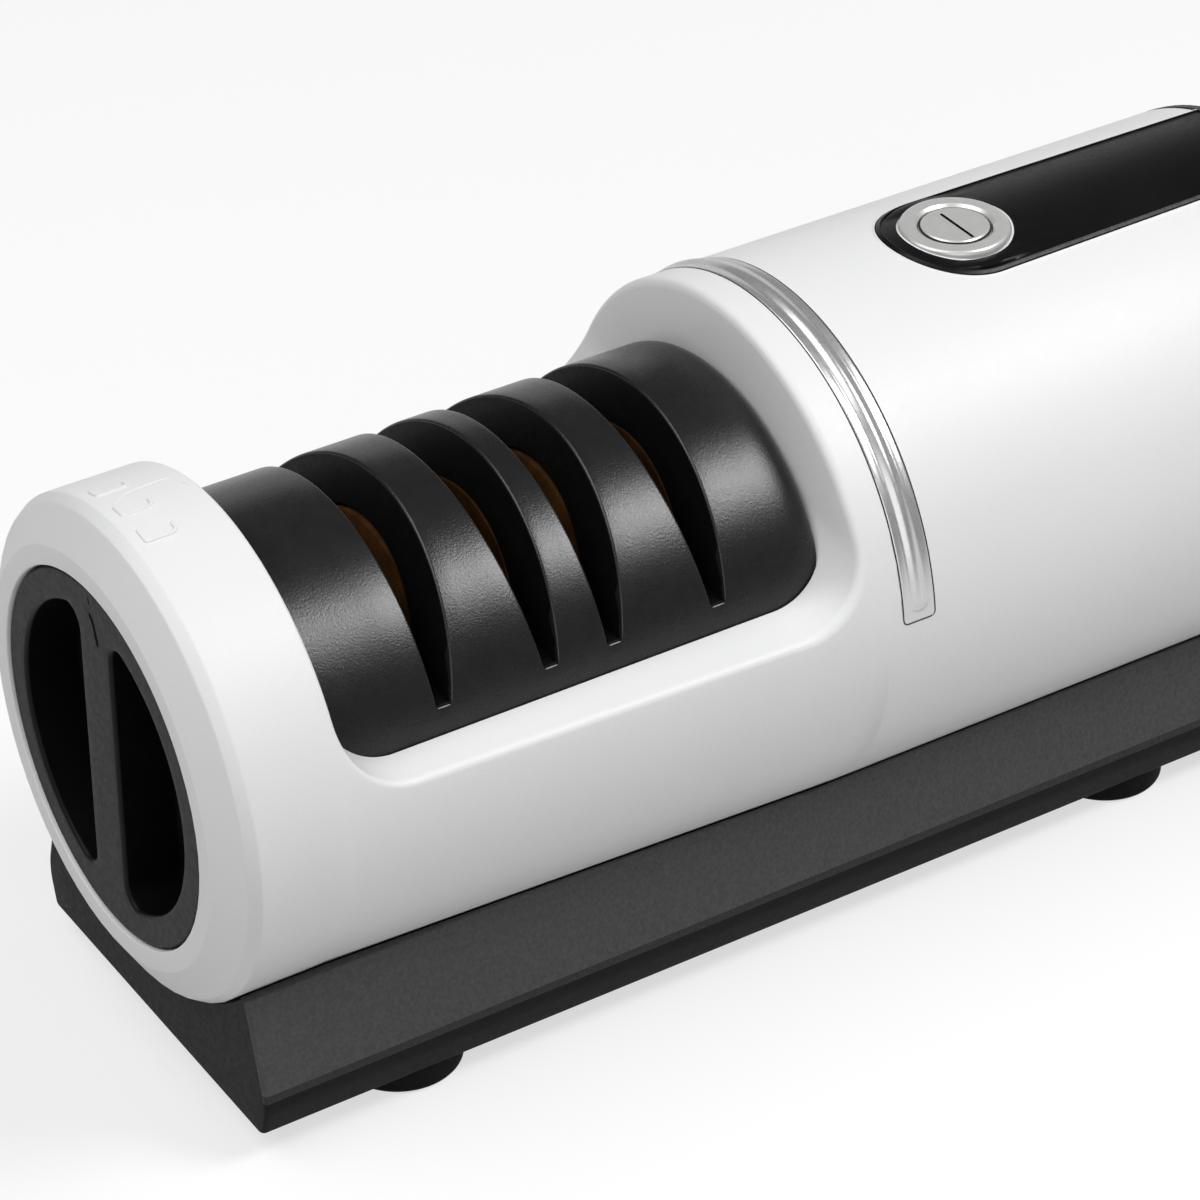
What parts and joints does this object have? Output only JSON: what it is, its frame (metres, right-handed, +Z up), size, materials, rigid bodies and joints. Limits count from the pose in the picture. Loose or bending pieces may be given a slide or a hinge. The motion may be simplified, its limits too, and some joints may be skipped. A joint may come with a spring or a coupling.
{
  "type": "electric knife sharpener",
  "caption": "Electric knife sharpener: white tube housing in a low dark base, slotted black cover over brown wheels, recessed front knob, round push button on top.",
  "frame": {"origin": "under the middle of the part's box, on the surface that the feet stand on", "axes": "+X from the front knob to the rear cap, -Y the near side in the picture, +Z up"},
  "size_m": [0.2476, 0.0956, 0.1123],
  "materials": {
    "pearl_white": "pearl white, soft satin",
    "cover_black": "fine-textured satin black",
    "knob_black": "satin black",
    "base_grey": "fine-textured dark grey",
    "cap_grey": "dark grey",
    "strip_black": "smooth glossy-satin black",
    "chrome": "polished",
    "brushed_steel": "round-brushed",
    "foot_rubber": "matte",
    "abrasive": "amber brown abrasive",
    "frame_plastic": "glass-filled plastic",
    "hub_plastic": "moulded",
    "steel": "plain steel",
    "bronze": "sintered bronze",
    "coupling_plastic": "moulded",
    "zinc": "die-cast",
    "magnet": "ferrite",
    "winding": "varnished winding",
    "board_green": "board",
    "component": "sleeved component",
    "gland_black": "soft bush",
    "switch_brown": "switch body"
  },
  "bodies": {
    "body": {"housing": "pearl_white", "rear_cap": "cap_grey", "rear_cap_screws": "steel", "guide_cover": "cover_black", "knob_carrier": "frame_plastic", "detent_spring": "steel", "selector_switch": "switch_brown", "chrome_trim": "chrome", "strip_panel": "strip_black", "button_bezel": "brushed_steel", "button_spring": "steel", "button_nut": "steel", "switch_block": "hub_plastic", "base_tray": "base_grey", "bottom_plate": "cap_grey", "base_screws": "steel", "body_screws": "steel", "foot_front_near": "foot_rubber", "foot_front_far": "foot_rubber", "foot_rear_near": "foot_rubber", "foot_rear_far": "foot_rubber", "front_bearing_frame": "frame_plastic", "rear_bearing_frame": "frame_plastic", "front_bush": "bronze", "rear_bush": "bronze", "motor_case": "steel", "motor_front_bell": "zinc", "motor_rear_bell": "zinc", "field_magnets": "magnet", "motor_cradle": "frame_plastic", "circuit_board": "board_green", "board_components": "component", "cord_gland": "gland_black"},
    "knob": {"front_knob": "knob_black", "knob_clip": "steel"},
    "spindle": {"spindle_shaft": "steel", "coarse_front_wheel": "abrasive", "coarse_rear_wheel": "abrasive", "coarse_hub": "hub_plastic", "fine_front_wheel": "abrasive", "fine_rear_wheel": "abrasive", "fine_hub": "hub_plastic", "wheel_springs": "steel", "shaft_coupling": "coupling_plastic", "rotor": "winding", "motor_shaft": "steel", "cooling_fan": "hub_plastic"},
    "button": {"button_disc": "brushed_steel"}
  },
  "joints": [
    {"name": "knob_turn", "type": "hinge", "parent": "body", "child": "knob", "pos_m": [-0.1168, 0, 0.0633], "axis": [1, 0, 0], "range_deg": [-13, 13]},
    {"name": "spindle_spin", "type": "hinge", "parent": "body", "child": "spindle", "pos_m": [-0.1168, 0, 0.0693], "axis": [1, 0, 0], "continuous": true},
    {"name": "button_press", "type": "slide", "parent": "body", "child": "button", "axis": [0, 0, -1], "range_m": [0, 0.0015], "stiffness_N_per_m": 1200, "deforming": ["button_spring"]}
  ]
}
